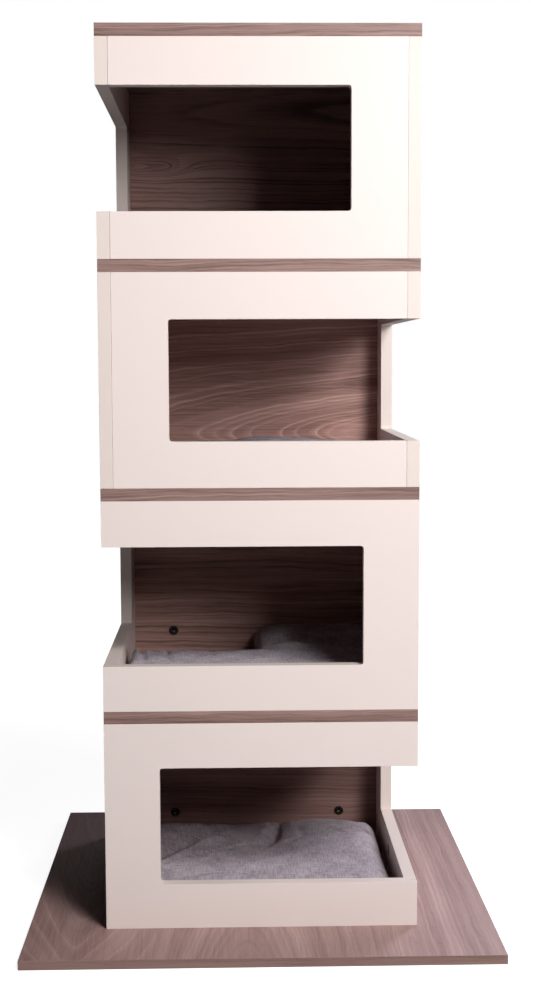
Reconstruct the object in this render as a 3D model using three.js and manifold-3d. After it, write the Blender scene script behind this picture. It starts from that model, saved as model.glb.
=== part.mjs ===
// Cat tower: four open-fronted boxes stacked on a wide base plate, with a shelf between them.
// Every box is four chipboard panels. Two run the full width and two fit between them, and the
// opening is cut out of the front and of one side, so that it runs round an open corner.
// Millimetres, +Z up, front towards -Y. The origin is the centre of the base plate's underside.

import * as THREE from 'three';
import { mergeVertices } from 'three/addons/utils/BufferGeometryUtils.js';
import Module from 'manifold-3d';

const wasm = await Module();
wasm.setup();

// Boards
const towerWidth = 400;       // outside width and depth of every box
const boxHeight = 268;
const board = 16;             // thickness of panels, shelves and top plate
const baseWidth = 600;
const baseBoard = 12;
const seam = 0.3;             // gap where the end of a panel meets the face of another

// Openings
const sill = 58;              // wall below an opening
const lintel = 58;            // wall above an opening
const stile = 70;             // upright left at the closed end of an opening
const openingRadius = 4;      // inside corners of an opening

// Cam locks: a cam in the inner face of a panel pulls on a bolt in the plate below
const camRadius = 7.2;
const camHeight = 34;         // axis of the cam above the plate
const camSetIn = 74;          // axis of the cam from the end of a full-width panel
const camSink = 1.5;          // face of the cam below the face of the panel
const camFloor = 3.5;         // wood left behind the cam
const boltRadius = 3.5;
const boltGrip = 7;           // depth of the bolt in the plate
const neckRadius = 1.8;
const headRadius = 3.1;       // ball head of the bolt, which shows through the cam's window
const windowRadius = 3.4;
const notchWidth = 1.6;       // four notches round the window, for a cross-head screwdriver
const notchReach = 5.3;       // from the axis to the end of a notch
const jawWide = 5.4;          // inside radius of the jaw where the bolt's head enters
const jawTight = 4;           // and where the jaw has closed on it
const jawMouth = 1.3;         // angle that the jaw leaves open, in radians
const jawGrip = 0.2;          // how far the jaw bites into the head
const jawSteps = 4;

// Dowels, glued into the panel that carries them
const dowelRadius = 3.7;
const dowelReach = 10;        // length that stands out of the panel
const dowelSetIn = 42;        // upright dowels from the end of a full-width panel
const fit = 0.3;              // clearance round dowels, bolts and cams

// Cushions
const cushionGap = 9;         // between a cushion and the walls round it
const cushionHeight = 46;
const cushionCorner = 34;
const cushionFoot = 0.3;      // gap under a cushion
const foldWidth = 184;        // part of the second cushion that lies against the back
const foldDepth = 158;
const foldedCushion = 2;
const cushionCornerSteps = 3;
// Rings of a cushion: share of its height, and how far the outline is drawn in there
const cushionRings = [[0, 9], [0.12, 2], [0.42, 0], [0.7, 4], [0.87, 15], [0.96, 44], [0.99, 96]];

// Level by level from the floor: where the opening runs out, and whether the front and back
// panels run the full width (the side panels then fit between them) or the sides do
const levels = [
  { opensTo: 'right', fullWidth: ['front', 'back'] },
  { opensTo: 'left', fullWidth: ['front', 'back'] },
  { opensTo: 'right', fullWidth: ['left', 'right'] },
  { opensTo: 'left', fullWidth: ['left', 'right'] },
];

// Each side of a box is made as a front panel and turned about the middle of the tower
const sides = {
  front: { turn: 0 },
  right: { turn: Math.PI / 2 },
  back: { turn: Math.PI },
  left: { turn: -Math.PI / 2 },
};

const innerFace = -towerWidth / 2 + board;       // Y of a front panel's inner face
const middle = -towerWidth / 2 + board / 2;      // Y of the middle of its thickness
const insetWidth = towerWidth - 2 * (board + seam);
const pitch = boxHeight + board;
const camDepth = board - camFloor;
const cushionWidth = towerWidth - 2 * (board + cushionGap);

const boreFacets = 12;
const boltFacets = 6;
const dowelFacets = 6;
const ballSteps = 3;

const cream = new THREE.MeshStandardMaterial({ color: '#efe6dc', roughness: 0.45, metalness: 0 });
const walnut = new THREE.MeshStandardMaterial({ color: '#8a6a60', roughness: 0.55, metalness: 0 });
const zinc = new THREE.MeshStandardMaterial({ color: '#8c8780', roughness: 0.4, metalness: 0.9 });
const cloth = new THREE.MeshStandardMaterial({ color: '#a79da6', roughness: 0.95, metalness: 0 });

// Solids and geometries

function toSolid(geometry) {
  geometry.deleteAttribute('normal');
  geometry.deleteAttribute('uv');
  const merged = mergeVertices(geometry, 1e-4);
  const vertProperties = new Float32Array(merged.attributes.position.array);
  const triVerts = new Uint32Array(merged.index.array);
  return new wasm.Manifold(new wasm.Mesh({ numProp: 3, vertProperties, triVerts }));
}

function toGeometry(solid) {
  const mesh = solid.getMesh();
  const geometry = new THREE.BufferGeometry();
  geometry.setAttribute('position', new THREE.BufferAttribute(mesh.vertProperties, 3));
  geometry.setIndex(new THREE.BufferAttribute(mesh.triVerts, 1));
  const faceted = geometry.toNonIndexed();
  faceted.computeVertexNormals();
  return faceted;
}

function cutAndJoin(body, cuts, joins) {
  let solid = toSolid(body);
  for (const cut of cuts) solid = solid.subtract(toSolid(cut));
  for (const join of joins) solid = solid.add(toSolid(join));
  return toGeometry(solid);
}

// Round bars, from one end to the other along an axis
function barX(radius, facets, x0, x1, y, z) {
  const bar = new THREE.CylinderGeometry(radius, radius, x1 - x0, facets);
  bar.rotateZ(Math.PI / 2);
  return bar.translate((x0 + x1) / 2, y, z);
}

function barY(radius, facets, y0, y1, x, z) {
  const bar = new THREE.CylinderGeometry(radius, radius, y1 - y0, facets);
  return bar.translate(x, (y0 + y1) / 2, z);
}

function barZ(radius, facets, z0, z1, x, y) {
  const bar = new THREE.CylinderGeometry(radius, radius, z1 - z0, facets);
  bar.rotateX(Math.PI / 2);
  return bar.translate(x, y, (z0 + z1) / 2);
}

// An outline in X and Z, made solid from y0 to y1
function slab(shape, y0, y1, curveSegments = 3) {
  const options = { depth: y1 - y0, bevelEnabled: false, curveSegments };
  const geometry = new THREE.ExtrudeGeometry(shape, options);
  geometry.rotateX(Math.PI / 2);
  return geometry.translate(0, y1, 0);
}

// Where the fasteners of a panel lie along its width
function camPlaces(width) {
  const reach = towerWidth / 2 - camSetIn;
  return width === towerWidth ? [-reach, reach] : [0];
}

const dowelPlaces = [-1, 1].map((end) => end * (towerWidth / 2 - dowelSetIn));
const jointHeights = [sill / 2, boxHeight - lintel / 2];

// A plain panel, or a C-shaped one whose opening runs out at the end that mouth points to
function panelShape(width, mouth) {
  const half = width / 2;
  const shape = new THREE.Shape();
  if (mouth === 0) {
    shape.moveTo(-half, 0).lineTo(half, 0).lineTo(half, boxHeight).lineTo(-half, boxHeight);
    return shape;
  }
  const post = mouth * (stile - half);
  const round = mouth * openingRadius;
  const top = boxHeight - lintel;
  shape.moveTo(-mouth * half, 0);
  shape.lineTo(mouth * half, 0);
  shape.lineTo(mouth * half, sill);
  shape.lineTo(post + round, sill);
  shape.quadraticCurveTo(post, sill, post, sill + openingRadius);
  shape.lineTo(post, top - openingRadius);
  shape.quadraticCurveTo(post, top, post + round, top);
  shape.lineTo(mouth * half, top);
  shape.lineTo(mouth * half, boxHeight);
  shape.lineTo(-mouth * half, boxHeight);
  return shape;
}

function camBores(width) {
  const bores = [];
  for (const x of camPlaces(width)) {
    bores.push(barY(camRadius + fit, boreFacets, innerFace - camDepth, innerFace + 1, x, camHeight));
    bores.push(barZ(boltRadius + fit, boltFacets, -1, camHeight, x, middle));
  }
  return bores;
}

function uprightDowels() {
  return dowelPlaces.map((x) => (
    barZ(dowelRadius, dowelFacets, boxHeight - 1, boxHeight + dowelReach, x, middle)
  ));
}

// The dowels in the ends of a panel that fits between two others
function endDowels(width) {
  const dowels = [];
  for (const z of jointHeights) {
    dowels.push(barX(dowelRadius, dowelFacets, width / 2 - 1, width / 2 + dowelReach, middle, z));
    dowels.push(barX(dowelRadius, dowelFacets, -width / 2 - dowelReach, 1 - width / 2, middle, z));
  }
  return dowels;
}

// The holes that take them, in the inner face of a full-width panel
function endDowelHoles() {
  const holes = [];
  for (const z of jointHeights) {
    for (const x of [middle, -middle]) {
      holes.push(barY(dowelRadius + fit, dowelFacets, innerFace - dowelReach, innerFace + 1, x, z));
    }
  }
  return holes;
}

function panelGeometry(fullWidth, mouth) {
  const width = fullWidth ? towerWidth : insetWidth;
  const body = slab(panelShape(width, mouth), -towerWidth / 2, innerFace);
  const cuts = camBores(width);
  const joins = uprightDowels();
  if (fullWidth) cuts.push(...endDowelHoles());
  else joins.push(...endDowels(width));
  return cutAndJoin(body, cuts, joins);
}

// The end of a panel, along its own X, where its opening runs out: 1, -1, or 0 for none
function mouthEnd(side, opensTo) {
  const toRight = opensTo === 'right' ? 1 : -1;
  if (side === 'front') return toRight;
  return side === opensTo ? -toRight : 0;
}

function isFullWidth(level, side) {
  return level.fullWidth.includes(side);
}

// Bars through a plate at a level's fasteners, turned as the panels that carry them are
function barsInPlan(level, placesAlong, radius, facets, z0, z1) {
  const bars = [];
  for (const [side, { turn }] of Object.entries(sides)) {
    const width = isFullWidth(level, side) ? towerWidth : insetWidth;
    for (const x of placesAlong(width)) {
      bars.push(barZ(radius, facets, z0, z1, x, middle).rotateZ(turn));
    }
  }
  return bars;
}

// A plate with its underside at z = 0, drilled for the box under it and for the box on it
function plateGeometry(width, thickness, below, above) {
  const body = new THREE.BoxGeometry(width, width, thickness).translate(0, 0, thickness / 2);
  const holes = [];
  if (below) {
    const radius = dowelRadius + fit;
    holes.push(...barsInPlan(below, () => dowelPlaces, radius, dowelFacets, -1, dowelReach + fit));
  }
  if (above) {
    const bottom = thickness - boltGrip - fit;
    const radius = boltRadius + fit;
    holes.push(...barsInPlan(above, camPlaces, radius, boltFacets, bottom, thickness + 1));
  }
  return cutAndJoin(body, holes, []);
}

// Cam lock, tightened: a cam whose spiral jaw has closed over the head of its bolt. The cam's
// axis is Y and its centre is at x = z = 0, with the panel's inner face at y = 0.

// The notches for the screwdriver, as one cross
function crossShape() {
  const near = notchWidth / 2;
  const points = [];
  for (let quarter = 0; quarter < 4; quarter += 1) {
    for (const [x, y] of [[near, -near], [notchReach, -near], [notchReach, near]]) {
      const turn = quarter * Math.PI / 2;
      points.push(new THREE.Vector2(x, y).rotateAround(new THREE.Vector2(), turn));
    }
  }
  return new THREE.Shape(points);
}

function polar(radius, angle) {
  return new THREE.Vector2(radius * Math.cos(angle), radius * Math.sin(angle));
}

// The hollow that the bolt's head lies in: open at the top, where the head went in, and closing
// in as it goes round, so that turning the cam draws the head up
function jawHollowShape() {
  const sweep = 2 * Math.PI - jawMouth;
  const start = (Math.PI + jawMouth) / 2;
  const points = [polar(2 * camRadius, start)];
  for (let step = 0; step <= jawSteps; step += 1) {
    const share = step / jawSteps;
    points.push(polar(jawWide + (jawTight - jawWide) * share, start + sweep * share));
  }
  points.push(polar(2 * camRadius, start + sweep));
  return new THREE.Shape(points);
}

// The way that the bolt's neck takes through the jaw, from the mouth to just past the bolt
function neckWayShape() {
  const start = Math.PI / 2;
  const end = 3 * Math.PI / 2 + jawMouth / 4;
  const points = [new THREE.Vector2()];
  for (let step = 0; step <= 3; step += 1) {
    points.push(polar(2 * camRadius, start + (end - start) * step / 3));
  }
  return new THREE.Shape(points);
}

// The bolt, with its ball head sunk a little into the jaw that grips it
function boltGeometry() {
  const bottom = -camHeight - boltGrip;
  const shaftTop = -camRadius - fit;
  const headCentre = -(jawWide + jawTight) / 2 + headRadius - jawGrip;
  const neck = Math.asin(neckRadius / headRadius);
  const profile = [[0, bottom], [boltRadius, bottom], [boltRadius, shaftTop], [neckRadius, shaftTop]];
  for (let step = 0; step <= ballSteps; step += 1) {
    const angle = neck + (Math.PI - neck) * step / ballSteps;
    profile.push([headRadius * Math.sin(angle), headCentre - headRadius * Math.cos(angle)]);
  }
  profile[profile.length - 1][0] = 0;
  const points = profile.map(([radius, z]) => new THREE.Vector2(radius, z));
  const bolt = new THREE.LatheGeometry(points, boltFacets).rotateX(Math.PI / 2);
  return bolt.translate(0, -board / 2, 0);
}

function camLockGeometry() {
  const hollowTop = -board / 2 + boltRadius + fit;
  const neckWay = neckRadius + fit;
  const cam = barY(camRadius, boreFacets, -camDepth + fit, -camSink, 0, 0);
  const cuts = [
    barY(windowRadius, boltFacets, -board, 0, 0, 0),
    slab(crossShape(), hollowTop - 1, 0),
    slab(jawHollowShape(), -board, hollowTop),
    slab(neckWayShape(), -board / 2 - neckWay, -board / 2 + neckWay),
  ];
  return cutAndJoin(cam, cuts, [boltGeometry()]);
}

// Cushions

// A closed outline with rounded corners
function roundedOutline(corners, radius) {
  const shape = new THREE.Shape();
  corners.forEach((corner, index) => {
    const before = corners[(index + corners.length - 1) % corners.length];
    const after = corners[(index + 1) % corners.length];
    const entry = corner.clone().add(before.clone().sub(corner).setLength(radius));
    const exit = corner.clone().add(after.clone().sub(corner).setLength(radius));
    if (index === 0) shape.moveTo(entry.x, entry.y);
    else shape.lineTo(entry.x, entry.y);
    shape.quadraticCurveTo(corner.x, corner.y, exit.x, exit.y);
  });
  return shape.getPoints(cushionCornerSteps);
}

// A soft pad with a flat underside and a crowned top. Its outline is drawn in, ring by ring,
// towards heart, a point that sees the whole of it.
function padGeometry(outline, heart) {
  const positions = [];
  const indices = [];
  const count = outline.length;
  for (const [rise, drawnIn] of cushionRings) {
    const share = 1 - drawnIn / (cushionWidth / 2);
    for (const point of outline) {
      const x = heart.x + (point.x - heart.x) * share;
      const y = heart.y + (point.y - heart.y) * share;
      positions.push(x, y, cushionFoot + rise * cushionHeight);
    }
  }
  const rings = cushionRings.length;
  positions.push(heart.x, heart.y, cushionFoot, heart.x, heart.y, cushionFoot + cushionHeight);
  const under = rings * count;
  const crown = under + 1;
  for (let index = 0; index < count; index += 1) {
    const next = (index + 1) % count;
    indices.push(under, next, index);
    for (let ring = 0; ring < rings - 1; ring += 1) {
      const low = ring * count;
      const high = low + count;
      indices.push(low + index, low + next, high + next, low + index, high + next, high + index);
    }
    const last = (rings - 1) * count;
    indices.push(last + index, last + next, crown);
  }
  const geometry = new THREE.BufferGeometry();
  geometry.setAttribute('position', new THREE.Float32BufferAttribute(positions, 3));
  geometry.setIndex(indices);
  geometry.computeVertexNormals();
  return geometry;
}

// The whole pad, or one whose left rear corner is folded under
function cushionGeometry(folded) {
  const half = cushionWidth / 2;
  const corners = [[-half, -half], [half, -half], [half, half]];
  if (folded) {
    const foldX = half - foldWidth;
    const foldY = half - foldDepth;
    corners.push([foldX, half], [foldX, foldY], [-half, foldY]);
    const points = corners.map(([x, y]) => new THREE.Vector2(x, y));
    const heart = new THREE.Vector2((half + foldX) / 2, (foldY - half) / 2);
    return padGeometry(roundedOutline(points, cushionCorner), heart);
  }
  corners.push([-half, half]);
  const points = corners.map(([x, y]) => new THREE.Vector2(x, y));
  return padGeometry(roundedOutline(points, cushionCorner), new THREE.Vector2());
}

// Assembly

const group = new THREE.Group();

function addPart(parent, name, geometry, material) {
  const mesh = new THREE.Mesh(geometry, material);
  mesh.name = name;
  parent.add(mesh);
  return mesh;
}

const basePlate = plateGeometry(baseWidth, baseBoard, null, levels[0]);
addPart(group, 'base_plate', basePlate, walnut);

const camLock = camLockGeometry();

levels.forEach((level, index) => {
  const number = index + 1;
  const box = new THREE.Group();
  box.position.z = baseBoard + index * pitch;
  group.add(box);

  for (const [side, { turn }] of Object.entries(sides)) {
    const wall = new THREE.Group();
    wall.rotation.z = turn;
    box.add(wall);
    const fullWidth = isFullWidth(level, side);
    const panel = panelGeometry(fullWidth, mouthEnd(side, level.opensTo));
    addPart(wall, `box_${number}_${side}`, panel, side === 'back' ? walnut : cream);

    const places = camPlaces(fullWidth ? towerWidth : insetWidth);
    places.forEach((x, place) => {
      const suffix = places.length > 1 ? `_${place + 1}` : '';
      const lock = addPart(wall, `cam_lock_${number}_${side}${suffix}`, camLock, zinc);
      lock.position.set(x, innerFace, camHeight);
    });
  }

  addPart(box, `cushion_${number}`, cushionGeometry(number === foldedCushion), cloth);

  const last = number === levels.length;
  const plate = plateGeometry(towerWidth, board, level, last ? null : levels[index + 1]);
  const roof = addPart(box, last ? 'top_plate' : `shelf_${number}`, plate, walnut);
  roof.position.z = boxHeight;
});

export default group;
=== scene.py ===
"""Looks for the cat tower: laminated chipboard, a brown wood print, cam locks and soft pads.

Metres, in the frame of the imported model: +Z up, front towards -Y. The boards, the cam locks and
the cushions' places are found in the frame.
"""

import math

import bpy
import numpy as np
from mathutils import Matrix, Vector, noise


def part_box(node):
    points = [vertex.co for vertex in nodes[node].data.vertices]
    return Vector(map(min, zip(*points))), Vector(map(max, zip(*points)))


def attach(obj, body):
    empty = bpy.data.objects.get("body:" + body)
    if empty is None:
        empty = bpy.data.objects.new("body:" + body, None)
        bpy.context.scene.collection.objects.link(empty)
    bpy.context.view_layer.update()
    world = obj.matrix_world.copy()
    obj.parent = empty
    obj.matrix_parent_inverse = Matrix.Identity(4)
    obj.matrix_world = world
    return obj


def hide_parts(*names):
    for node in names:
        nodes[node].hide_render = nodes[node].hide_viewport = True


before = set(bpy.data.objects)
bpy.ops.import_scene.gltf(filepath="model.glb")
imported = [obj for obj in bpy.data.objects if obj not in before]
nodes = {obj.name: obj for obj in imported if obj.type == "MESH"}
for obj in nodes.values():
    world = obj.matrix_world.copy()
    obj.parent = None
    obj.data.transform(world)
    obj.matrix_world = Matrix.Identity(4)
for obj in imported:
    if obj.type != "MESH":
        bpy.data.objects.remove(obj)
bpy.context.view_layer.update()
MM = 0.001

X, Y, Z = 0, 1, 2
LEVELS = (1, 2, 3, 4)
AXIS_OF = {"front": Y, "right": X, "back": Y, "left": X}    # of each panel's thickness


def half_size(node, axis=X):
    low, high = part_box(node)
    return (high[axis] - low[axis]) / 2


HALF_BOARD = half_size("box_1_front", Y)
CAM_RADIUS = half_size("cam_lock_1_front_1")
BORE_RADIUS = CAM_RADIUS + 0.3 * MM


# ---------------------------------------------------------------- camera, stage and light

LENS = 53.43                   # mm, on a frame 36 mm high
CAMERA_PLACE = (-0.0346, -2.0593, 0.7387)
CAMERA_TURN = (84.578, 0.214, -1.324)      # degrees round X, Y and Z
TOWER = Vector((0, -0.1, 0.55))            # what the high lamps point at
UPPER_BOXES = Vector((0, -0.1, 0.80))
BASE_RIGHT = Vector((0.45, -0.1, 0))
TOWER_BACK = Vector((0, 0.2, 0.6))
SOFT_WHITE = (1.0, 0.98, 0.98)
COOL_WHITE = (0.86, 0.82, 1.0)
SOFTBOX = (0.7, 0.6)           # width and height of the front lamps
FILL = 0.008                   # strength of the world as light
FLOOR_HALF = 12.0
FLOOR_GREY = 0.50
# The camera sees the floor glow white, but for a little less near the tower, where it would
# otherwise lose the shadow: distances from the middle, and the glow at the nearer one
GLOW_FROM, GLOW_TO, LEAST_GLOW = 0.5, 1.6, 0.93
# Gloss mirrors a white screen behind the tower on its right: its direction, and the cosines
# between which it fades in
SCREEN_SIDE = (0.75, 0.66, 0.0)
SCREEN_EDGE, SCREEN_FULL = 0.55, 0.85


def make_camera():
    data = bpy.data.cameras.new("camera")
    data.sensor_fit = "VERTICAL"
    data.sensor_height = 36
    data.lens = LENS
    data.clip_end = 50
    camera = bpy.data.objects.new("camera", data)
    camera.location = CAMERA_PLACE
    camera.rotation_euler = [math.radians(angle) for angle in CAMERA_TURN]
    bpy.context.scene.collection.objects.link(camera)
    bpy.context.scene.camera = camera


def make_area_light(name, place, target, size, watts, colour, spread=180):
    data = bpy.data.lights.new(name, "AREA")
    data.shape = "RECTANGLE"
    data.size, data.size_y = size
    data.energy = watts
    data.color = colour
    data.spread = math.radians(spread)
    light = bpy.data.objects.new(name, data)
    light.location = place
    direction = target - Vector(place)
    light.rotation_euler = direction.to_track_quat("-Z", "Y").to_euler()
    bpy.context.scene.collection.objects.link(light)


class Shader:
    """A node tree that is written as expressions: every method adds a node and gives its output."""

    def __init__(self, tree):
        self.tree = tree

    def add(self, kind, inputs=None, output=0, **settings):
        node = self.tree.nodes.new(kind)
        for name, value in settings.items():
            setattr(node, name, value)
        for name, value in (inputs or {}).items():
            self.put(node.inputs[name], value)
        return node.outputs[output]

    def put(self, socket, value):
        if isinstance(value, bpy.types.NodeSocket):
            self.tree.links.new(value, socket)
        else:
            socket.default_value = value

    def math(self, operation, *values):
        return self.add("ShaderNodeMath", dict(enumerate(values)), operation=operation)

    def vector(self, operation, *values, output=0):
        return self.add("ShaderNodeVectorMath", dict(enumerate(values)), output, operation=operation)

    def off_middle(self, value, amount):
        """value, which runs from 0 to 1, as a change of up to half of amount either way."""
        return self.math("MULTIPLY", self.math("SUBTRACT", value, 0.5), amount)

    def combine(self, x=0.0, y=0.0, z=0.0):
        return self.add("ShaderNodeCombineXYZ", {"X": x, "Y": y, "Z": z})

    def separate(self, vector):
        node = self.tree.nodes.new("ShaderNodeSeparateXYZ")
        self.put(node.inputs[0], vector)
        return node.outputs[0], node.outputs[1], node.outputs[2]

    def scaled(self, x, x_scale, y, y_scale, z):
        """A place for noise: x and y, each at its own scale, and z."""
        return self.combine(self.math("MULTIPLY", x, x_scale), self.math("MULTIPLY", y, y_scale), z)

    def noise(self, vector, scale=1.0, detail=2.0, roughness=0.5):
        inputs = {"Vector": vector, "Scale": scale, "Detail": detail, "Roughness": roughness}
        return self.add("ShaderNodeTexNoise", inputs)

    def between(self, value, low, high, to_low=0.0, to_high=1.0):
        """A smooth step from to_low to to_high, as value goes from low to high."""
        inputs = {"Value": value, "From Min": low, "From Max": high}
        inputs.update({"To Min": to_low, "To Max": to_high})
        return self.add("ShaderNodeMapRange", inputs, interpolation_type="SMOOTHSTEP")

    def mix(self, factor, a, b, blend="MIX"):
        """Colours. A mix node has sockets for each type of value, so these go by number."""
        node = self.tree.nodes.new("ShaderNodeMix")
        node.data_type = "RGBA"
        node.blend_type = blend
        self.put(node.inputs["Factor"], factor)
        self.put(node.inputs[6], a)
        self.put(node.inputs[7], b)
        return node.outputs[2]

    def choose(self, factor, a, b):
        """Of two vectors, a where factor is 0 and b where it is 1."""
        node = self.tree.nodes.new("ShaderNodeMix")
        node.data_type = "VECTOR"
        self.put(node.inputs["Factor"], factor)
        self.put(node.inputs[4], a)
        self.put(node.inputs[5], b)
        return node.outputs[1]

    def ramp(self, value, stops):
        node = self.tree.nodes.new("ShaderNodeValToRGB")
        elements = node.color_ramp.elements
        while len(elements) < len(stops):
            elements.new(0.5)
        for element, (position, colour) in zip(elements, stops):
            element.position = position
            element.color = colour
        self.put(node.inputs[0], value)
        return node.outputs[0]

    def bump(self, height, strength, distance):
        inputs = {"Height": height, "Strength": strength, "Distance": distance}
        return self.add("ShaderNodeBump", inputs)

    def coordinates(self):
        """Place and normal in the object's own axes, which are the tower's."""
        node = self.tree.nodes.new("ShaderNodeTexCoord")
        return node.outputs["Object"], node.outputs["Normal"]


def rgb(red, green, blue):
    return (red, green, blue, 1.0)


def new_material(name):
    material = bpy.data.materials.new(name)
    material.use_nodes = True
    material.node_tree.nodes.clear()
    return material, Shader(material.node_tree)


def finish_material(shader, **inputs):
    """Ends a material in a principled surface. Underscores in the names stand for spaces."""
    named = {name.replace("_", " "): value for name, value in inputs.items()}
    show(shader, "ShaderNodeOutputMaterial", shader.add("ShaderNodeBsdfPrincipled", named))


def show(shader, kind, surface):
    """Makes surface the output, of the given kind, of a material or a world."""
    output = shader.tree.nodes.new(kind)
    shader.put(output.inputs["Surface"], surface)


def make_floor():
    """A pale floor that is white to the camera but for the object's soft shadow."""
    half = FLOOR_HALF
    mesh = bpy.data.meshes.new("floor")
    corners = [(-half, -half, 0), (half, -half, 0), (half, half, 0), (-half, half, 0)]
    mesh.from_pydata(corners, [], [(0, 1, 2, 3)])
    floor = bpy.data.objects.new("floor", mesh)
    bpy.context.scene.collection.objects.link(floor)
    material, s = new_material("floor")
    lit = s.add("ShaderNodeBsdfDiffuse", {"Color": rgb(FLOOR_GREY, FLOOR_GREY, FLOOR_GREY)})
    path = s.tree.nodes.new("ShaderNodeLightPath")
    place, _ = s.coordinates()
    away = s.vector("LENGTH", place, output="Value")
    strength = s.between(away, GLOW_FROM, GLOW_TO, LEAST_GLOW, 1.0)
    seen = s.math("MULTIPLY", path.outputs["Is Camera Ray"], strength)
    glow = s.add("ShaderNodeEmission", {"Color": rgb(1, 1, 1), "Strength": seen})
    show(s, "ShaderNodeOutputMaterial", s.add("ShaderNodeAddShader", {0: lit, 1: glow}))
    mesh.materials.append(material)


def make_world():
    """A weak fill. The camera and clear things see it white, and gloss sees a white screen."""
    world = bpy.data.worlds.new("studio")
    world.use_nodes = True
    world.node_tree.nodes.clear()
    s = Shader(world.node_tree)
    path = world.node_tree.nodes.new("ShaderNodeLightPath")
    direction = world.node_tree.nodes.new("ShaderNodeTexCoord").outputs["Generated"]
    screen = s.vector("DOT_PRODUCT", direction, SCREEN_SIDE, output="Value")
    screen = s.between(screen, SCREEN_EDGE, SCREEN_FULL)
    gloss = s.math("MULTIPLY", path.outputs["Is Glossy Ray"], screen)
    seen = s.math("MAXIMUM", path.outputs["Is Camera Ray"], gloss)
    seen = s.math("MAXIMUM", seen, path.outputs["Is Transmission Ray"])
    white = s.add("ShaderNodeBackground", {"Color": rgb(1, 1, 1), "Strength": 1.0})
    fill = s.add("ShaderNodeBackground", {"Color": rgb(1, 0.97, 0.97), "Strength": FILL})
    show(s, "ShaderNodeOutputWorld", s.add("ShaderNodeMixShader", {0: seen, 1: fill, 2: white}))
    bpy.context.scene.world = world


make_camera()
make_floor()
make_world()
# Two lamps high on the front right and one lower, for the insides, a cool narrow one for the
# right of the base, and a weak wide one for the back
make_area_light("key", (1.25, -2.17, 2.9), TOWER, SOFTBOX, 51, SOFT_WHITE)
make_area_light("low_key", (0.98, -2.1, 1.35), UPPER_BOXES, SOFTBOX, 10, SOFT_WHITE, 110)
make_area_light("side_key", (1.77, -1.77, 2.1), TOWER, SOFTBOX, 25, SOFT_WHITE)
make_area_light("rim", (1.6, 1.7, 0.9), BASE_RIGHT, (0.7, 0.7), 3.4, COOL_WHITE, 50)
make_area_light("back", (0.7, 2.6, 1.9), TOWER_BACK, (1.6, 1.6), 3, SOFT_WHITE)


# ---------------------------------------------------------------- materials

CREAM = rgb(0.86, 0.755, 0.715)
CREAM_EDGE = rgb(0.80, 0.70, 0.645)
CREAM_SHADE = rgb(0.70, 0.60, 0.57)    # the faint clouds in the cream
CHIPBOARD = rgb(0.52, 0.30, 0.13)
CHIPBOARD_DARK = rgb(0.30, 0.14, 0.05)
FACE_COSINE = 0.4              # of the angle to the board's normal: less is an edge
# The raw board shows in a bore up to just inside the board's face, and just past the bore's wall
FACE_MARGIN = 1.002
WALL_MARGIN = 0.99


def cream_material(name, thickness_axis, cams):
    """Cream laminate. Its edge band is a shade warmer, and raw chipboard shows in the bores."""
    material, s = new_material(name)
    place, normal = s.coordinates()
    flat = s.math("ABSOLUTE", s.separate(normal)[thickness_axis])
    tone = s.mix(s.math("LESS_THAN", flat, FACE_COSINE), CREAM, CREAM_EDGE)
    cloudy = s.noise(place, 9.0, 3.0)
    tone = s.mix(s.between(cloudy, 0.35, 0.7, 0.0, 0.05), tone, CREAM_SHADE)
    tone = bare_in_bores(s, tone, place, thickness_axis, cams)
    finish_material(
        s, Base_Color=tone, Roughness=s.between(cloudy, 0.3, 0.7, 0.36, 0.44),
        Normal=s.bump(s.noise(place, 900.0), 0.10, 0.0004))
    return material


def bare_in_bores(s, colour, place, thickness_axis, cams):
    """colour, but chipboard in the bores: each a cylinder round the middle of its cam."""
    reach = [BORE_RADIUS] * 3
    reach[thickness_axis] = HALF_BOARD
    across_only = [float(axis != thickness_axis) for axis in range(3)]
    mask = 0.0
    for middle in cams:
        away = s.vector("DIVIDE", s.vector("SUBTRACT", place, tuple(middle)), reach)
        along = s.math("ABSOLUTE", s.separate(away)[thickness_axis])
        across = s.vector("LENGTH", s.vector("MULTIPLY", away, across_only), output="Value")
        along = s.math("MULTIPLY", along, FACE_MARGIN)
        across = s.math("MULTIPLY", across, WALL_MARGIN)
        inside = s.math("LESS_THAN", s.math("MAXIMUM", along, across), 1.0)
        mask = s.math("MAXIMUM", mask, inside)
    flakes = s.noise(place, 700.0, 3.0, 0.7)
    bare = s.mix(s.between(flakes, 0.35, 0.65), CHIPBOARD_DARK, CHIPBOARD)
    return s.mix(mask, colour, bare)


def cam_middles(level, side):
    """The middle of each cam in a panel, half-way through the board, from the frame."""
    thickness_axis = AXIS_OF[side]
    low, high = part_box(f"box_{level}_{side}")
    half_way = (low + high) / 2
    middles = []
    for name in sorted(nodes):
        if name.startswith(f"cam_lock_{level}_{side}"):
            low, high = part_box(name)
            middle = (low + high) / 2
            middle.z = high.z - CAM_RADIUS
            middle[thickness_axis] = half_way[thickness_axis]
            middles.append(middle)
    return middles


# The wood print. Widths are in metres, and the rest in rings or in shares of its scale of tones
WANDER = 0.016                 # how far the grain drifts to either side over a long way
SHAKE = 0.0065                 # and over a short one
ARCH_REACH = 0.14              # from the heart line to where the arches have straightened
STRAIGHTEST = 0.25             # share of their lean that is left there
UNEVEN = 2.2                   # how much wide rings take from narrow ones
MIDDLE_TONE = 0.46
BAND_CONTRAST = 0.75
CLOUD_CONTRAST = 0.30
PORE_CONTRAST = 0.10
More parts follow.
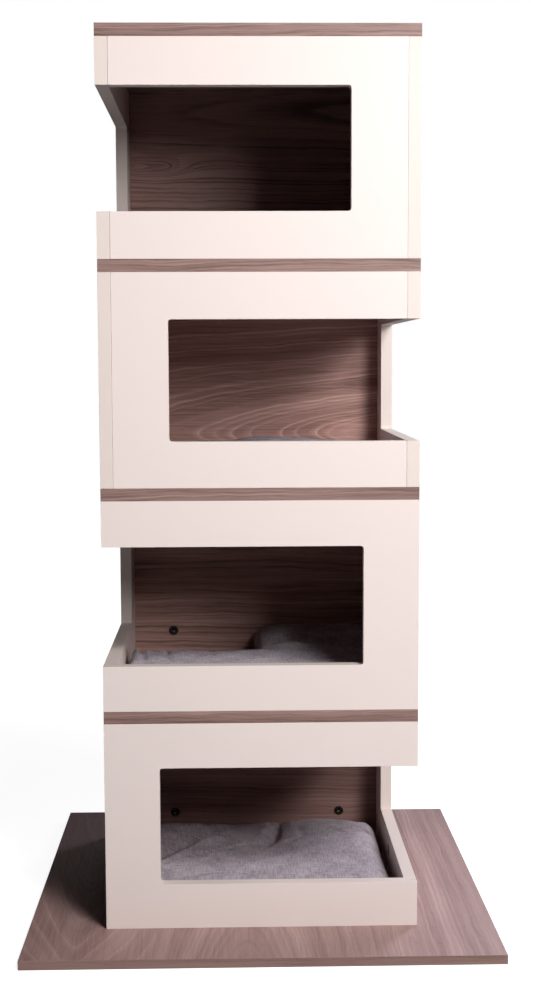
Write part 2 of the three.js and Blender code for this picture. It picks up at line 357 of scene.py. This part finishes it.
# A ring's line across the ring: it comes up fast and fades slowly
LINE_STOPS = ((0.00, 0.0), (0.36, 0.0), (0.50, 1.0), (0.60, 0.55), (0.92, 0.0))
WALNUT_TONES = (
    (0.10, rgb(0.120, 0.066, 0.058)),
    (0.30, rgb(0.235, 0.138, 0.122)),
    (0.46, rgb(0.345, 0.218, 0.195)),
    (0.66, rgb(0.440, 0.296, 0.268)),
    (0.90, rgb(0.580, 0.430, 0.395)))
WALNUT_INPUTS = (
    "Along", "Across", "Depth", "Lean", "Spacing",
    "Streaks", "Weakest", "Strongest", "Figure", "Seed")


def walnut_group():
    """Colour and height of a brown wood print. Along and Across are places on the print, in
    metres. A log's rings are cones, and the board is cut Depth above its heart, so the rings
    close into arches along the line Across = 0: each leads the next by Spacing / Lean, and away
    from that line they straighten. Figure, in rings, bends them further. Lines are from Weakest
    to Strongest, and below 0 is darker than the wood. Streaks is the contrast of the fibres."""
    tree = bpy.data.node_groups.new("walnut", "ShaderNodeTree")
    for name in WALNUT_INPUTS:
        tree.interface.new_socket(name, in_out="INPUT", socket_type="NodeSocketFloat")
    tree.interface.new_socket("Colour", in_out="OUTPUT", socket_type="NodeSocketColor")
    tree.interface.new_socket("Height", in_out="OUTPUT", socket_type="NodeSocketFloat")
    s = Shader(tree)
    given = tree.nodes.new("NodeGroupInput").outputs
    along, across, seed = given["Along"], given["Across"], given["Seed"]

    # Rings, counted from the heart, with a wandering grain and uneven widths
    wander = s.off_middle(s.noise(s.scaled(along, 4.0, across, 6.0, seed)), WANDER)
    shake = s.off_middle(s.noise(s.scaled(along, 16.0, across, 40.0, seed)), SHAKE)
    off_heart = s.math("ADD", across, s.math("ADD", wander, shake))
    squares = s.math("ADD", s.math("POWER", off_heart, 2.0), s.math("POWER", given["Depth"], 2.0))
    aside = s.math("ABSOLUTE", off_heart)
    straight = s.between(aside, 0.0, ARCH_REACH, 1.0, STRAIGHTEST)
    climb = s.math("MULTIPLY", s.math("MULTIPLY", along, given["Lean"]), straight)
    from_heart = s.math("SUBTRACT", s.math("SQRT", squares), climb)
    rings = s.math("ADD", s.math("DIVIDE", from_heart, given["Spacing"]), given["Figure"])
    uneven = s.noise(s.combine(s.math("MULTIPLY", rings, 0.45), 3.0, seed))
    rings = s.math("ADD", rings, s.math("MULTIPLY", uneven, UNEVEN))

    # Each ring has a thin line, light or dark, and rings come in lighter and darker bands
    which = s.math("ADD", s.math("FLOOR", rings), seed)
    strength = s.add("ShaderNodeTexWhiteNoise", {"W": which}, noise_dimensions="1D")
    strength = s.between(strength, 0.0, 0.9, given["Weakest"], given["Strongest"])
    line = s.ramp(s.math("FRACT", rings), [(at, rgb(grey, grey, grey)) for at, grey in LINE_STOPS])
    line = s.math("MULTIPLY", line, strength)
    band = s.noise(s.combine(s.math("MULTIPLY", rings, 0.21), 11.0, seed), 1.0, 3.0, 0.6)
    broken = s.noise(s.scaled(along, 10.0, rings, 0.5, seed))
    line = s.math("MULTIPLY", line, s.between(broken, 0.3, 0.6, 0.45, 1.0))

    # Long fibres, short pores and slow changes of tone
    fibres = s.noise(s.scaled(along, 8.0, off_heart, 340.0, seed), 1.0, 4.0, 0.7)
    pores = s.noise(s.scaled(along, 60.0, across, 1500.0, seed), 1.0, 1.0)
    pores = s.between(pores, 0.60, 0.72)
    clouds = s.noise(s.scaled(along, 2.5, across, 22.0, seed))
    value = s.math("ADD", MIDDLE_TONE, line)
    value = s.math("ADD", value, s.off_middle(fibres, given["Streaks"]))
    value = s.math("ADD", value, s.off_middle(band, BAND_CONTRAST))
    value = s.math("ADD", value, s.off_middle(clouds, CLOUD_CONTRAST))
    value = s.math("SUBTRACT", value, s.math("MULTIPLY", pores, PORE_CONTRAST))
    out = tree.nodes.new("NodeGroupOutput")
    s.put(out.inputs["Colour"], s.ramp(value, WALNUT_TONES))
    s.put(out.inputs["Height"], s.math("SUBTRACT", s.math("MULTIPLY", fibres, 0.5), pores))
    return tree


WALNUT = walnut_group()
EDGE_TINT = rgb(0.77, 0.72, 0.69)      # of the print on the edges of every board
# What keeps the print of the two kinds of edge apart from that of the face
LONG_EDGE_SHIFT = 0.31
END_EDGE_SHIFT = 0.47
BORDER_WAVE = 0.03             # between the sides that two hearts rule, metres
BORDER_HALF = 0.012


def walnut_print(s, *values):
    node = s.tree.nodes.new("ShaderNodeGroup")
    node.node_tree = WALNUT
    for name, value in zip(WALNUT_INPUTS, values):
        s.put(node.inputs[name], value)
    return node.outputs["Colour"], node.outputs["Height"]


def rings_of_knots(s, along, across, places):
    """How many rings each knot adds round itself: (along, across, length, width, rings)."""
    total = 0.0
    for place_along, place_across, length, width, rings in places:
        u = s.math("DIVIDE", s.math("SUBTRACT", along, place_along), length)
        v = s.math("DIVIDE", s.math("SUBTRACT", across, place_across), width)
        away = s.math("ADD", s.math("POWER", u, 2.0), s.math("POWER", v, 2.0))
        swell = s.math("MULTIPLY", s.math("EXPONENT", s.math("MULTIPLY", away, -1.0)), rings)
        total = s.math("ADD", total, swell)
    return total


def spot_on_print(s, place, normal, thickness_axis, grain_axis):
    """How far along and across the grain a place is, and whether it is on a face. The print of
    a face runs along grain_axis, and that of an edge along the edge."""
    position = s.separate(place)
    facing = [s.math("ABSOLUTE", n) for n in s.separate(normal)]
    cross_axis = X + Y + Z - thickness_axis - grain_axis
    through = position[thickness_axis]
    face = s.combine(position[grain_axis], position[cross_axis], 0.0)
    long_edge = s.combine(position[grain_axis], s.math("ADD", through, LONG_EDGE_SHIFT), 0.0)
    end_edge = s.combine(position[cross_axis], s.math("ADD", through, END_EDGE_SHIFT), 0.0)
    on_face = s.math("GREATER_THAN", facing[thickness_axis], 0.5)
    on_end = s.math("GREATER_THAN", facing[grain_axis], 0.5)
    spot = s.choose(on_face, s.choose(on_end, long_edge, end_edge), face)
    along, across, _ = s.separate(spot)
    return along, across, on_face


def walnut_material(name, thickness_axis, grain_axis, cams, tint_and_painted_light, wood, gloss, seed):
    """Wood print on a board. wood holds, in metres along and across the grain:
    - hearts, the lines of arches, each (start, across, depth, lean, spacing), where start is
      the side from which it rules the board;
    - knots, each (along, across, length, width, rings);
    - streaks, and lines, which is (weakest, strongest)."""
    material, s = new_material(name)
    place, normal = s.coordinates()
    along, across, on_face = spot_on_print(s, place, normal, thickness_axis, grain_axis)
    figure = rings_of_knots(s, along, across, wood["knots"])
    colour = None
    for index, (start, heart, depth, lean, spacing) in enumerate(wood["hearts"]):
        off = s.math("SUBTRACT", across, heart)
        own, height = walnut_print(
            s, along, off, depth, lean, spacing, wood["streaks"], *wood["lines"], figure, seed + index)
        if colour is None:
            colour = own
            continue
        border = s.math("ADD", across, s.off_middle(s.noise(place, 5.0), BORDER_WAVE))
        side = s.between(border, start - BORDER_HALF, start + BORDER_HALF)
        colour = s.mix(side, colour, own)
    # The face takes the tint; on the back panels that tint is painted light and shade
    colour = s.mix(1.0, colour, s.mix(on_face, EDGE_TINT, tint_and_painted_light), "MULTIPLY")
    if cams:
        colour = bare_in_bores(s, colour, place, thickness_axis, cams)
    finish_material(
        s, Base_Color=colour, Roughness=s.between(height, -0.6, 0.5, 0.66, 0.50),
        Specular_IOR_Level=gloss, Normal=s.bump(height, 0.25, 0.00025))
    return material


ZINC = rgb(0.10, 0.09, 0.085)
ZINC_DARK = rgb(0.045, 0.040, 0.038)
# The bolt's steel end: lighter than the zinc, and painted bright and less metallic as a highlight that
# stands in for its glint
STEEL_GLINT = rgb(0.55, 0.54, 0.52)
BOLT_GLINT_RADII = (1.6 * MM, 2.2 * MM)        # radii between which the painted highlight of the bolt fades
BOLT_BELOW_AXIS = 2.2 * MM


def zinc_material(name, spot):
    """Dull cast zinc, and at spot the bolt's steel end that shows in the cam's window, painted light
    and less metallic: a painted highlight that stands in for its glint.
    """
    material, s = new_material(name)
    place, _ = s.coordinates()
    cast = s.noise(place, 1400.0, 3.0, 0.6)
    dull = s.mix(s.between(cast, 0.3, 0.7), ZINC_DARK, ZINC)
    away = s.vector("LENGTH", s.vector("SUBTRACT", place, tuple(spot)), output="Value")
    bolt_glint = s.between(away, *BOLT_GLINT_RADII, 1.0, 0.0)
    finish_material(
        s, Base_Color=s.mix(bolt_glint, dull, STEEL_GLINT), Roughness=s.between(cast, 0.2, 0.8, 0.30, 0.50),
        Metallic=s.math("SUBTRACT", 1.0, s.math("MULTIPLY", bolt_glint, 0.6)),
        Normal=s.bump(cast, 0.35, 0.0002))
    return material


# ---------------------------------------------------------------- boards

EDGE_ROUNDING = 0.5 * MM


def soften_board(board):
    """Rounds the sharp edges of a board a little, without touching its mesh."""
    weld = board.modifiers.new("weld", "WELD")
    weld.merge_threshold = 0.01 * MM
    flat = board.modifiers.new("flat", "DECIMATE")
    flat.decimate_type = "DISSOLVE"
    flat.angle_limit = math.radians(1)
    bevel = board.modifiers.new("bevel", "BEVEL")
    bevel.width = EDGE_ROUNDING
    bevel.segments = 2
    bevel.limit_method = "ANGLE"
    bevel.angle_limit = math.radians(50)
    bevel.use_clamp_overlap = True
    bevel.harden_normals = False


def paint(node, material):
    node.data.materials.clear()
    node.data.materials.append(material)


# The wood of each back panel, as walnut_material takes it, but with its places measured from the
# middle and from the box's floor. Each box's print has its own lines; its tint below is painted light
# and shade
BACK_WOOD = {
    1: {
        "hearts": [(0, 0.42, 0.16, 0.02, 0.0060)],
        "knots": [],
        "streaks": 0.80, "lines": (-0.20, 0.30)},
    2: {
        "hearts": [(0, 0.34, 0.10, 0.02, 0.0075)],
        "knots": [(-0.018, 0.163, 0.040, 0.008, -4.2), (-0.01, 0.140, 0.10, 0.016, 0.9)],
        "streaks": 1.00, "lines": (-0.32, 0.24)},
    3: {
        "hearts": [(0, 0.050, 0.016, 0.22, 0.0055)],
        "knots": [],
        "streaks": 0.90, "lines": (-0.05, 0.60)},
    4: {
        "hearts": [(0, 0.240, 0.060, 0.03, 0.0050)],
        "knots": [(-0.176, 0.160, 0.022, 0.011, -5.0), (-0.138, 0.159, 0.034, 0.013, -5.5)],
        "streaks": 0.60, "lines": (-0.50, 0.10)},
}
# Painted light and shade: each box's back is tinted lighter or darker by how much light reaches inside
# that box
BACK_PAINTED_LIGHT_TINTS = {
    1: rgb(0.74, 0.65, 0.62),
    2: rgb(1.30, 1.21, 1.15),
    3: rgb(1.18, 1.02, 0.96),
    4: rgb(0.85, 0.73, 0.69),
}
BASE_WOOD = {
    "hearts": [
        (0, -0.235, 0.008, 0.26, 0.0080),
        (-0.125, -0.020, 0.014, -0.30, 0.0080),
        (0.085, 0.60, 0.20, 0.02, 0.0060)],
    "knots": [(-0.270, 0.182, 0.110, 0.010, -2.2)],
    "streaks": 0.50, "lines": (-0.06, 0.17),
}
PLATE_WOOD = {"knots": [], "streaks": 1.1, "lines": (-0.25, 0.30)}
PLATES = ("shelf_1", "shelf_2", "shelf_3", "top_plate")
PLATE_TINT = rgb(1.00, 0.99, 1.02)
BACK_GLOSS = 0.5
BASE_GLOSS = 0.7
PLATE_GLOSS = 0.65
# Seeds of the print, so that boards of one kind differ
BASE_SEED = 3.0
BACK_SEEDS = 10.0              # times the level
PLATE_SEEDS = 20.0             # plus the plate's number


def back_material(level, board, cams):
    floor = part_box(board.name)[0].z
    wood = dict(BACK_WOOD[level])
    wood["hearts"] = [(start, floor + up, *rest) for start, up, *rest in wood["hearts"]]
    wood["knots"] = [(x, floor + up, *rest) for x, up, *rest in wood["knots"]]
    tint_and_painted_light, seed = BACK_PAINTED_LIGHT_TINTS[level], BACK_SEEDS * level
    return walnut_material(board.name, Y, X, cams, tint_and_painted_light, wood, BACK_GLOSS, seed)


for level in LEVELS:
    for side in AXIS_OF:
        board = nodes[f"box_{level}_{side}"]
        cams = cam_middles(level, side)
        if side == "back":
            paint(board, back_material(level, board, cams))
        else:
            paint(board, cream_material(board.name, AXIS_OF[side], cams))
        soften_board(board)

base = nodes["base_plate"]
paint(base, walnut_material("base_plate", Z, Y, [], PLATE_TINT, BASE_WOOD, BASE_GLOSS, BASE_SEED))
soften_board(base)
for index, name in enumerate(PLATES):
    board = nodes[name]
    seed = PLATE_SEEDS + index
    wood = dict(PLATE_WOOD, hearts=[(0, 0.03 * index - 0.05, 0.05, 0.05, 0.0032)])
    paint(board, walnut_material(name, Z, X, [], PLATE_TINT, wood, PLATE_GLOSS, seed))
    soften_board(board)
for name, node in nodes.items():
    if name.startswith("cam_lock"):
        low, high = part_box(name)
        spot = (low + high) / 2
        spot.z = high.z - CAM_RADIUS - BOLT_BELOW_AXIS
        paint(node, zinc_material(name, spot))


# ---------------------------------------------------------------- cushions

# A pad's floor is the underside of its solid in the frame, and heights are above it
PAD_SEAM = 15 * MM             # of the sewn edge
PAD_FOOT = 0.8 * MM            # of the underside
LEAST_FOOT = 0.5 * MM          # and the least that the simulation may leave
UNDER_EDGE = 11 * MM           # how far in the underside takes to curve down
PAD_RINGS = 46                 # rings of points between the middle of a pad and its edge
RING_CROWDING = 0.8            # under 1 brings them closer together towards the edge
CORNER_STEPS = 9
SIDE_STEPS = 26
LONG_SIDE = 0.25               # sides that are shorter pull in less
GATHERS = 38                   # puckers round the sewn edge, not evenly spaced
GATHER_DRIFT = 31
GATHER_REACH = 16 * MM
VOXEL = 4.5 * MM
SETTLE_FRAMES = 18
MOST_DRIFT = 7 * MM            # how far the cloth simulation may move a point
CREASE_DEPTH = 12 * MM         # above the seam, where creases reach their full depth


def rounded_path(corners, radius, pull):
    """A closed outline through corners, each rounded, whose sides pull in between them."""
    points = []
    count = len(corners)
    for index in range(count):
        before, corner, after = (np.array(corners[(index + k) % count]) for k in (-1, 0, 1))
        entry = corner + (before - corner) / np.linalg.norm(before - corner) * radius
        leave = corner + (after - corner) / np.linalg.norm(after - corner) * radius
        for t in np.linspace(0, 1, CORNER_STEPS):
            points.append((1 - t) ** 2 * entry + 2 * t * (1 - t) * corner + t ** 2 * leave)
        next_entry = after + (corner - after) / np.linalg.norm(corner - after) * radius
        side = next_entry - leave
        length = np.linalg.norm(side)
        inward = np.array([-side[1], side[0]]) / length
        share = min(1, length / LONG_SIDE)
        for t in np.linspace(0, 1, SIDE_STEPS)[1:-1]:
            points.append(leave + side * t + inward * pull * math.sin(math.pi * t) * share)
    return np.array(points)


def edge_distance(points, outline):
    """Distance from each point to a closed outline."""
    best = np.full(len(points), 1e9)
    for a, b in zip(outline, np.roll(outline, -1, axis=0)):
        side = b - a
        t = np.clip(((points - a) @ side) / (side @ side), 0, 1)
        away = points - (a + t[:, None] * side)
        best = np.minimum(best, np.hypot(away[:, 0], away[:, 1]))
    return best


def line_distance(x, y, line):
    """Distance from points to an open line, and how far along it the nearest place is, 0 to 1."""
    best = np.full(x.shape, 1e9)
    share = np.zeros(x.shape)
    steps = len(line) - 1
    for index in range(steps):
        (ax, ay), (bx, by) = line[index], line[index + 1]
        dx, dy = bx - ax, by - ay
        t = np.clip(((x - ax) * dx + (y - ay) * dy) / (dx * dx + dy * dy), 0, 1)
        away = np.hypot(x - ax - t * dx, y - ay - t * dy)
        nearer = away < best
        best = np.where(nearer, away, best)
        share = np.where(nearer, (index + t) / steps, share)
    return best, share


# The outlines and the shapes of the tops are in millimetres, from the middle of a pad and up
# from its floor
PAD_HALF = 175                 # from the middle of a pad to its end
PAD_EASE = 2                   # how far the whole pads stay inside the space of their solids
FOLD_SIDE = -4                 # left side of the thick part of the folded pad
STRIP_BACK = 8                 # back of its strip
SCALLOP_PITCH = 19
FALL_BEND = 12                 # over which a surface bends as it begins to slope off


def step(value, width):
    """From 0 to 1, softly, as value passes 0."""
    return 1 / (1 + np.exp(-value / width))


def bump_at(x, y, cx, cy, wide, deep, height):
    """A rounded swelling with its middle at cx, cy."""
    return height * np.exp(-((x - cx) / wide) ** 2 - ((y - cy) / deep) ** 2)


def fold(x, y, line, width, height):
    """A ridge, or with a negative height a crease, along a line, fading out at its ends."""
    away, share = line_distance(x, y, line)
    fade = np.sin(np.pi * np.clip(share * 0.9 + 0.05, 0, 1)) ** 0.5
    return height * np.exp(-(away / width) ** 2) * fade


def waves(x, y, seed, size, height):
    """Slow uneven swells, the same in each run."""
    values = [noise.noise(Vector((a / size, b / size, seed))) for a, b in zip(x, y)]
    return np.array(values) * height


def fall(y, start, slope):
    """How far a surface has come down at y, where it begins to slope off at start."""
    past = y - start
    return slope * (np.sqrt(past ** 2 + FALL_BEND ** 2) + past) / 2


def top_of_first(x, y):
    """A hollow runs from the left to the back, with a ridge before it and a crease beside it."""
    h = 41 + waves(x, y, 1.3, 90, 3) + waves(x, y, 5.3, 30, 2.5)
    h += bump_at(x, y, 75, -15, 75, 75, 5) + bump_at(x, y, 78, 92, 40, 40, 5)
    h += fold(x, y, [(-190, -62), (-140, -16), (-104, 30), (-74, 72), (-36, 98)], 28, -26)
    h += fold(x, y, [(-165, -98), (-117, -61), (-95, -31), (-72, 4), (-52, 46), (-30, 78)], 11, 10)
    h += fold(x, y, [(11, -20), (19, 14), (25, 48), (31, 112)], 8, -14)
    h += fold(x, y, [(2, 14), (10, 44), (17, 86)], 7, 5)
    return h - fall(y, 96, 0.42)


def creases_of_first(x, y):
    h = fold(x, y, [(-128, -84), (-106, -60), (-76, -47), (-53, -34), (-25, -20), (8, -10)], 4.5, -4)
    h += fold(x, y, [(-70, 34), (-50, 20), (-36, -2)], 4, -3)
    h += fold(x, y, [(11, -20), (19, 14), (25, 48), (31, 112)], 4.5, -5)
    h += fold(x, y, [(84, 80), (120, 42), (168, 54)], 5, -4)
    h += fold(x, y, [(60, 106), (110, 94), (160, 90)], 8, 2)
    h += fold(x, y, [(-120, -140), (-60, -120), (10, -128)], 7, -2)
    h += fold(x, y, [(40, -20), (62, 10), (58, 60)], 6, -2)
    return h


def top_of_second(x, y):
    """Folded: thick at the back right, with a strip in front that rises to its left end."""
    h = 37 + waves(x, y, 4.1, 80, 3) + waves(x, y, 8.1, 30, 2)
    h += 7 * step(y - 62, 9) * step(x + 2, 8)
    h += 5 * np.exp(-np.clip(x + PAD_HALF, 0, None) / 30)
    h += bump_at(x, y, 34, -4, 46, 30, 8)
    h += fold(x, y, [(6, 50), (50, 54), (100, 40), (128, 0), (135, -60)], 15, -13)
    h += fold(x, y, [(8, 178), (12, 120), (12, 70)], 6, -7)
    return h


def creases_of_second(x, y):
    """The strip's far edge is gathered into scallops, deepest at its left end."""
    left_end = np.clip(x + PAD_HALF, 0, None)
    scallops = np.abs(np.sin(np.pi * (left_end + 6) / SCALLOP_PITCH)) - 0.6
    h = 7 * np.exp(-left_end / 55) * scallops * np.exp(-((y + 2) / 20) ** 2)
    h += fold(x, y, [(-162, 8), (-160, -40), (-152, -90)], 4, -3)
    h += fold(x, y, [(-124, 6), (-126, -50), (-116, -100)], 4, -3)
    h += fold(x, y, [(-60, 0), (-66, -40), (-50, -90)], 5, -2)
    h += fold(x, y, [(20, -20), (60, -30), (100, -60)], 5, -2)
    return h


def top_of_third(x, y):
    """Lower on both sides, so that only its middle shows over the sill."""
    h = 43 + waves(x, y, 7.7, 85, 5) + waves(x, y, 2.7, 34, 3)
    h -= 9 * step(-25 - x, 10) + 7 * step(x - 78, 10)
    h += bump_at(x, y, 10, 40, 60, 60, 5)
    h += fold(x, y, [(-160, 40), (-90, 5), (-20, -10)], 14, -6)
    h += fold(x, y, [(60, 120), (90, 60), (150, 30)], 13, -5)
    return h


def top_of_fourth(x, y):
    h = 42 + waves(x, y, 12.9, 95, 5) + waves(x, y, 3.9, 34, 3)
    h += bump_at(x, y, 20, 10, 100, 90, 4)
    h += fold(x, y, [(-150, -120), (-100, -60), (-80, 0)], 14, -6)
    h += fold(x, y, [(150, 130), (80, 110), (20, 120)], 13, -5)
    return h


def creases_of_others(x, y):
    h = fold(x, y, [(-120, 90), (-60, 60), (-10, 66)], 5, -3)
    h += fold(x, y, [(30, -60), (80, -20), (150, -30)], 5, -3)
    h += fold(x, y, [(-150, -60), (-110, -90), (-40, -100)], 6, -2)
    return h


def pad_mesh(name, outline, heart, top, floor, soft_edge, pucker):
    """A closed pad: a top and an underside that meet in the sewn edge round the outline. Both
    are rings of points from the edge down to one at heart, and they share the outermost ring."""
    rings = PAD_RINGS
    count = len(outline)
    shares = np.linspace(0, 1, rings + 1)[1:] ** RING_CROWDING
    flat = np.concatenate([heart + (outline - heart) * share for share in shares] + [[heart]])
    distance = edge_distance(flat, outline)
    around = np.concatenate([np.tile(np.arange(count), rings), [0]]) / count
    crown = top(flat[:, 0] / MM, flat[:, 1] / MM) * MM
    gather = np.sin(around * 2 * np.pi * GATHERS + 2.2 * np.sin(around * GATHER_DRIFT)) * pucker
    near = np.exp(-distance / GATHER_REACH)
    rim = np.sqrt(1 - (1 - np.clip(distance / soft_edge, 0, 1)) ** 2)
    under_rim = np.sqrt(1 - (1 - np.clip(distance / UNDER_EDGE, 0, 1)) ** 2)
    high = floor + PAD_SEAM + (crown - PAD_SEAM + gather * near) * rim
    low = floor + PAD_SEAM - (PAD_SEAM - PAD_FOOT) * under_rim
    centre = rings * count
    vertices = [(x, y, z) for (x, y), z in zip(flat, high)]
    under_start = len(vertices)
    inner = (rings - 1) * count
    vertices += [(x, y, z) for (x, y), z in zip(flat[:inner], low[:inner])]
    vertices.append((*flat[centre], low[centre]))
    under_centre = len(vertices) - 1

    def under(index):
        return index if index >= inner else index + under_start

    faces = []
    for i in range(count):
        j = (i + 1) % count
        faces.append((centre, i, j))
        faces.append((under_centre, under(j), under(i)))
        for ring in range(rings - 1):
            a, b = ring * count, (ring + 1) * count
            faces.append((a + i, b + i, b + j, a + j))
            faces.append((under(a + i), under(a + j), under(b + j), under(b + i)))
    mesh = bpy.data.meshes.new(name)
    mesh.from_pydata(vertices, [], faces)
    mesh.validate()
    return mesh


def apply_modifiers(piece):
    graph = bpy.context.evaluated_depsgraph_get()
    mesh = bpy.data.meshes.new_from_object(piece.evaluated_get(graph))
    piece.modifiers.clear()
    old = piece.data
    piece.data = mesh
    bpy.data.meshes.remove(old)


def points_of(mesh):
    co = np.empty(len(mesh.vertices) * 3)
    mesh.vertices.foreach_get("co", co)
    return co.reshape(-1, 3)


def settle_cloth(piece, floor):
    """Lets the cover wrinkle: it is a little larger than its filling, which presses it out."""
    start = points_of(piece.data)
    cloth = piece.modifiers.new("cloth", "CLOTH")
    settings = cloth.settings
    settings.quality = 4
    settings.mass = 0.25
    settings.tension_stiffness = 12
    settings.compression_stiffness = 12
    settings.shear_stiffness = 4
    settings.bending_stiffness = 0.15
    settings.air_damping = 3
    settings.shrink_min = -0.035
    settings.use_pressure = True
    settings.uniform_pressure_force = 2.2
    settings.effector_weights.gravity = 0
    cloth.collision_settings.use_collision = False
    cloth.point_cache.frame_start = 1
    cloth.point_cache.frame_end = SETTLE_FRAMES
    scene = bpy.context.scene
    for frame_number in range(1, SETTLE_FRAMES + 1):
        scene.frame_set(frame_number)
    apply_modifiers(piece)
    scene.frame_set(1)
    drift = points_of(piece.data) - start
    length = np.linalg.norm(drift, axis=1, keepdims=True)
    drift *= np.minimum(1, MOST_DRIFT / np.maximum(length, 1e-9))
    settled = start + drift
    settled[:, 2] = np.maximum(settled[:, 2], floor + LEAST_FOOT)
    move_points(piece.data, settled)


def move_points(mesh, points):
    mesh.vertices.foreach_set("co", points.ravel())
    mesh.update()


def press_creases(pad, floor, creases):
    """Sharp creases come after the simulation, which would smooth them away."""
    points = points_of(pad.data)
    share = np.clip((points[:, 2] - floor - PAD_SEAM) / CREASE_DEPTH, 0, 1)
    points[:, 2] += creases(points[:, 0] / MM, points[:, 1] / MM) * MM * share
    move_points(pad.data, points)


def make_cushion(level, outline, heart, top, creases, soft_edge, pucker):
    """soft_edge is how far in the top takes to reach its full height from the sewn edge, and
    pucker the height of the gathers along it."""
    low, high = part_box(f"cushion_{level}")
    floor = low.z
    mesh = pad_mesh(f"pad_{level}", outline, heart, top, floor, soft_edge, pucker)
    pad = bpy.data.objects.new(f"pad_{level}", mesh)
    bpy.context.scene.collection.objects.link(pad)
    remesh = pad.modifiers.new("even", "REMESH")
    remesh.mode = "VOXEL"
    remesh.voxel_size = VOXEL
    apply_modifiers(pad)
    settle_cloth(pad, floor)
    smooth = pad.modifiers.new("smooth", "SMOOTH")
    smooth.factor = 0.5
    smooth.iterations = 2
    finer = pad.modifiers.new("finer", "SUBSURF")
    finer.levels = 1
    finer.render_levels = 1
    apply_modifiers(pad)
    press_creases(pad, floor, creases)
    pad.data.materials.append(CLOTH)
    pad.data.shade_smooth()
    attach(pad, f"cushion_{level}")
    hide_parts(f"cushion_{level}")


CLOTH_TONES = (
    (0.46, rgb(0.175, 0.150, 0.168)),
    (0.72, rgb(0.350, 0.304, 0.338)),
    (0.98, rgb(0.520, 0.460, 0.500)))
THREAD_PITCH = 1.15 * MM
SLUB_FINE = 560.0              # scales of the thick and thin places, across a thread
SLUB_LONG = 60.0               # and along it
MOTTLE_CONTRAST = 1.5
CLOUDS_ON_CLOTH = 0.60
WEAVE_CONTRAST = 0.05


def cloth_material():
    """Heathered plain weave: threads that run both ways, thick and thin, light and dark."""
    material, s = new_material("cushion_fabric")
    place, normal = s.coordinates()
    x, y, z = s.separate(place)
    nx, ny, nz = (s.math("ABSOLUTE", n) for n in s.separate(normal))

    def thread_place(level, facing):
        """The place along X or Y, and up the sides of the pad that face that way, along Z."""
        steep = s.between(s.math("SUBTRACT", facing, nz), -0.1, 0.1)
        on_top = s.math("MULTIPLY", level, s.math("SUBTRACT", 1.0, steep))
        return s.math("ADD", on_top, s.math("MULTIPLY", z, steep))

    across, along = thread_place(x, nx), thread_place(y, ny)
    turns = 2 * math.pi / THREAD_PITCH
    warp = s.math("SINE", s.math("MULTIPLY", across, turns))
    weft = s.math("SINE", s.math("MULTIPLY", along, turns))
    weave = s.math("MULTIPLY", warp, weft)
    slub_across = s.noise(s.scaled(across, SLUB_FINE, along, SLUB_LONG, 0.0))
    slub_along = s.noise(s.scaled(across, SLUB_LONG, along, SLUB_FINE, 0.0))
    mottle = s.math("MULTIPLY", s.math("ADD", slub_across, slub_along), 0.5)
    cloudy = s.off_middle(s.noise(place, 30.0, 3.0, 0.6), CLOUDS_ON_CLOTH)
    value = s.math("ADD", s.math("MULTIPLY", mottle, MOTTLE_CONTRAST), cloudy)
    value = s.math("ADD", value, s.math("MULTIPLY", weave, WEAVE_CONTRAST))
    height = s.math("ADD", s.math("MULTIPLY", weave, 0.5), mottle)
    finish_material(
        s, Base_Color=s.ramp(value, CLOTH_TONES), Roughness=0.95, Specular_IOR_Level=0.1,
        Sheen_Weight=0.25, Sheen_Roughness=0.5, Sheen_Tint=rgb(0.9, 0.85, 0.95),
        Normal=s.bump(height, 0.5, 0.0006))
    return material


CLOTH = cloth_material()


def outline_in_metres(corners, radius, pull):
    return rounded_path([(x * MM, y * MM) for x, y in corners], radius, pull)


def whole_outline():
    half = half_size("cushion_1") / MM - PAD_EASE
    corners = [(-half, -half), (half, -half), (half, half), (-half, half)]
    return outline_in_metres(corners, 26 * MM, 5 * MM)


def folded_outline():
    half = half_size("cushion_2") / MM
    corners = [
        (-half, -half), (half, -half), (half, half),
        (FOLD_SIDE, half), (FOLD_SIDE, STRIP_BACK), (-half, STRIP_BACK)]
    return outline_in_metres(corners, 12 * MM, 3 * MM)


WHOLE = whole_outline()
FOLDED = folded_outline()
MIDDLE = np.zeros(2)
FOLDED_HEART = np.array([0.07, -0.07])     # a place that sees all of the folded outline
make_cushion(1, WHOLE, MIDDLE, top_of_first, creases_of_first, 22 * MM, 1.5 * MM)
make_cushion(2, FOLDED, FOLDED_HEART, top_of_second, creases_of_second, 13 * MM, 2.5 * MM)
make_cushion(3, WHOLE, MIDDLE, top_of_third, creases_of_others, 28 * MM, 1.5 * MM)
make_cushion(4, WHOLE, MIDDLE, top_of_fourth, creases_of_others, 28 * MM, 1.5 * MM)

bpy.context.scene.view_settings.view_transform = "Standard"
